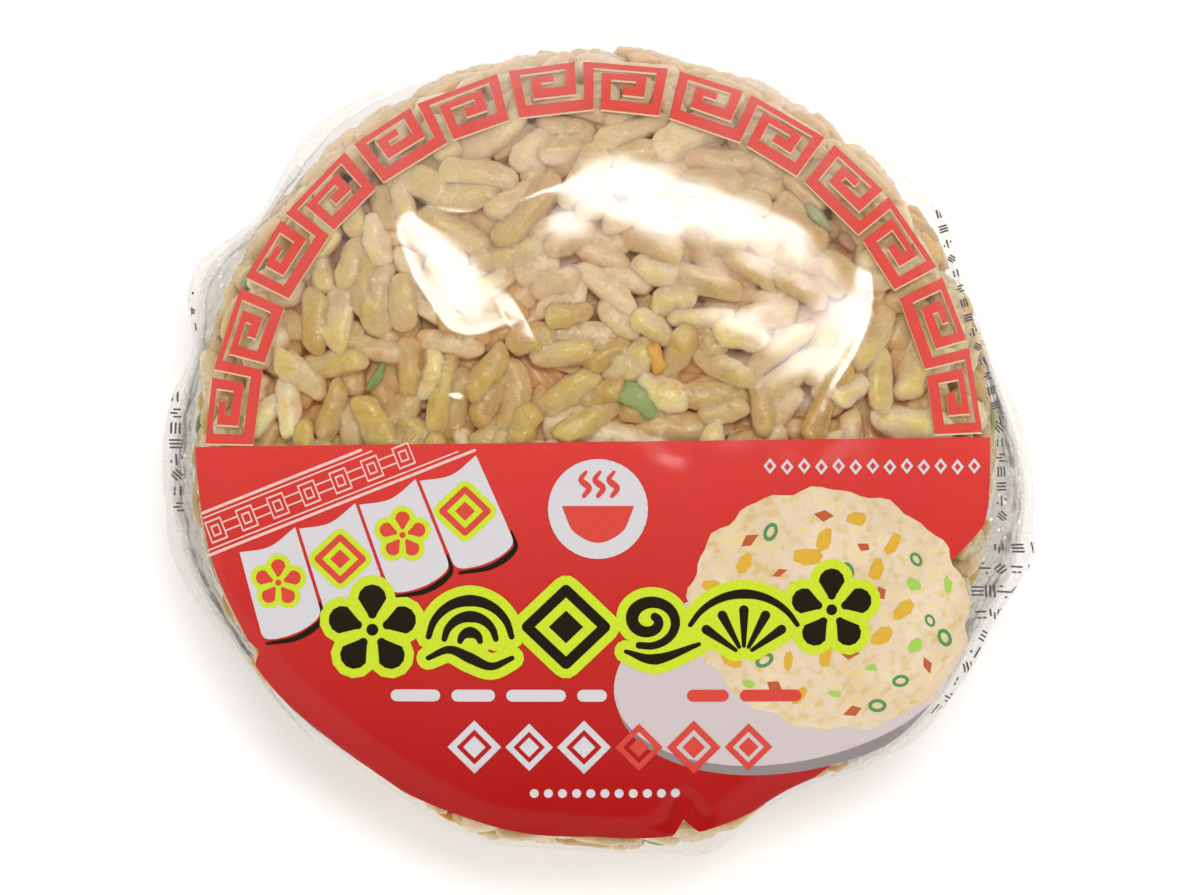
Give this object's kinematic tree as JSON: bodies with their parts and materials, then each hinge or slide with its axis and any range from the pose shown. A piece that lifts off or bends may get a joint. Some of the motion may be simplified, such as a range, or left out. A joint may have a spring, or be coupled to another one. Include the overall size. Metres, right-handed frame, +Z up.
{
  "type": "wrapped fried rice ball",
  "caption": "Round fried rice ball sealed in a clear printed film pack, lying on its back with the front up; the grains show through the clear half",
  "frame": {"origin": "centre of the underside, on the surface that the pack lies on", "axes": "+X to the right of the front, +Y to the top of the front, +Z up out of the front face"},
  "size_m": [0.0884, 0.0828, 0.032],
  "materials": {
    "rice": "moist cooked fried rice, warm beige, slightly translucent",
    "clear_film": "thin clear glossy polypropylene film",
    "red_print": "red ink printed on glossy film",
    "white_print": "white ink printed on glossy film",
    "dark_print": "near-black ink printed on glossy film",
    "lime_print": "yellow-green ink printed on glossy film",
    "green_onion": "moist chopped green onion",
    "egg": "cooked egg crumb",
    "roast_pork": "diced roast pork"
  },
  "bodies": {
    "root": {"wrapped_rice_ball": "rice"}
  },
  "joints": []
}
